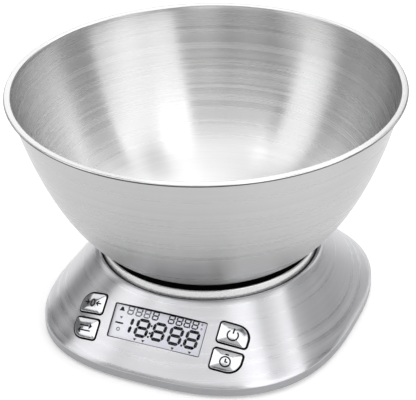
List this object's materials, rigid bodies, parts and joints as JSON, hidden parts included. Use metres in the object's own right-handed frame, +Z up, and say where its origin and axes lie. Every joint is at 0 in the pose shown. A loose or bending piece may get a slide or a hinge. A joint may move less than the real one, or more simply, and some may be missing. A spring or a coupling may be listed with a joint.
{
  "type": "kitchen scale",
  "caption": "Digital kitchen scale: a brushed-steel bowl stands on a round sprung platform over a domed square base with a sloping display between paired push buttons.",
  "frame": {"origin": "on the worktop under the bowl's axis, at the feet", "axes": "+Z up; the display and buttons face -Y; +X is the user's right"},
  "size_m": [0.216, 0.216, 0.1375],
  "materials": {
    "brushed_steel": "brushed in circles",
    "satin_steel": "satin, polished lip",
    "chrome": "mirror plated",
    "black_plastic": "matt moulded",
    "grey_plastic": "fine moulded grain",
    "aluminium": "milled",
    "zinc": "zinc plated",
    "rubber": "matt",
    "silicone": "cured silicone",
    "board_green": "solder mask",
    "clear_lens": "clear moulded",
    "display_glass": "reflective display",
    "battery_wrap": "printed sleeve",
    "paper_label": "blank label",
    "red_sheath": "insulation",
    "black_sheath": "insulation",
    "grey_sheath": "insulation"
  },
  "bodies": {
    "housing": {"load_cell_beam": "aluminium", "strain_gauge_cover_top": "silicone", "strain_gauge_cover_bottom": "silicone", "load_cell_screw_1": "zinc", "load_cell_screw_2": "zinc", "top_cover": "brushed_steel", "cover_frame": "black_plastic", "base_plate": "grey_plastic", "rating_label": "paper_label", "display_lens": "clear_lens", "display_glass": "display_glass", "display_bezel": "black_plastic", "display_connector": "silicone", "main_board": "board_green", "controller_chip": "black_plastic", "alarm_buzzer": "black_plastic", "wire_socket": "silicone", "battery_box": "black_plastic", "battery_1": "battery_wrap", "battery_2": "battery_wrap", "load_cell_cable": "grey_sheath", "battery_wire_red": "red_sheath", "battery_wire_black": "black_sheath", "foot_1": "rubber", "case_screw_1": "zinc", "foot_2": "rubber", "case_screw_2": "zinc", "foot_3": "rubber", "case_screw_3": "zinc", "foot_4": "rubber", "case_screw_4": "zinc", "contact_spring_1": "zinc", "contact_plate_plus_1": "zinc", "contact_plate_minus_1": "zinc", "contact_spring_2": "zinc", "contact_plate_plus_2": "zinc", "contact_plate_minus_2": "zinc", "key_switch_tare": "black_plastic", "key_switch_unit": "black_plastic", "key_switch_power": "black_plastic", "key_switch_timer": "black_plastic"},
    "bowl": {"bowl_dish": "brushed_steel", "bowl_wall": "brushed_steel", "bowl_rim": "brushed_steel"},
    "platform": {"platform_ring": "satin_steel", "platform_seat": "black_plastic", "platform_carrier": "black_plastic", "platform_screw_1": "zinc", "platform_screw_2": "zinc"},
    "battery_lid": {"battery_door": "grey_plastic"},
    "tare_key": {"button_tare": "chrome"},
    "unit_key": {"button_unit": "chrome"},
    "power_key": {"button_power": "chrome"},
    "timer_key": {"button_timer": "chrome"}
  },
  "joints": [
    {"name": "platform_press", "type": "slide", "parent": "housing", "child": "platform", "axis": [0, 0, -1], "range_m": [0, 0.0006], "stiffness_N_per_m": 80000},
    {"name": "bowl_lift", "type": "slide", "parent": "platform", "child": "bowl", "axis": [0, 0, 1], "range_m": [0, 0.12]},
    {"name": "battery_door_hinge", "type": "hinge", "parent": "housing", "child": "battery_lid", "pos_m": [0, 0.023, 0.003], "axis": [1, 0, 0], "range_deg": [-100, 0]},
    {"name": "tare_button_press", "type": "slide", "parent": "housing", "child": "tare_key", "axis": [0, 0.7009, -0.7133], "range_m": [0, 0.0005], "stiffness_N_per_m": 3000},
    {"name": "unit_button_press", "type": "slide", "parent": "housing", "child": "unit_key", "axis": [0, 0.7009, -0.7133], "range_m": [0, 0.0005], "stiffness_N_per_m": 3000},
    {"name": "power_button_press", "type": "slide", "parent": "housing", "child": "power_key", "axis": [0, 0.7009, -0.7133], "range_m": [0, 0.0005], "stiffness_N_per_m": 3000},
    {"name": "timer_button_press", "type": "slide", "parent": "housing", "child": "timer_key", "axis": [0, 0.7009, -0.7133], "range_m": [0, 0.0005], "stiffness_N_per_m": 3000}
  ]
}
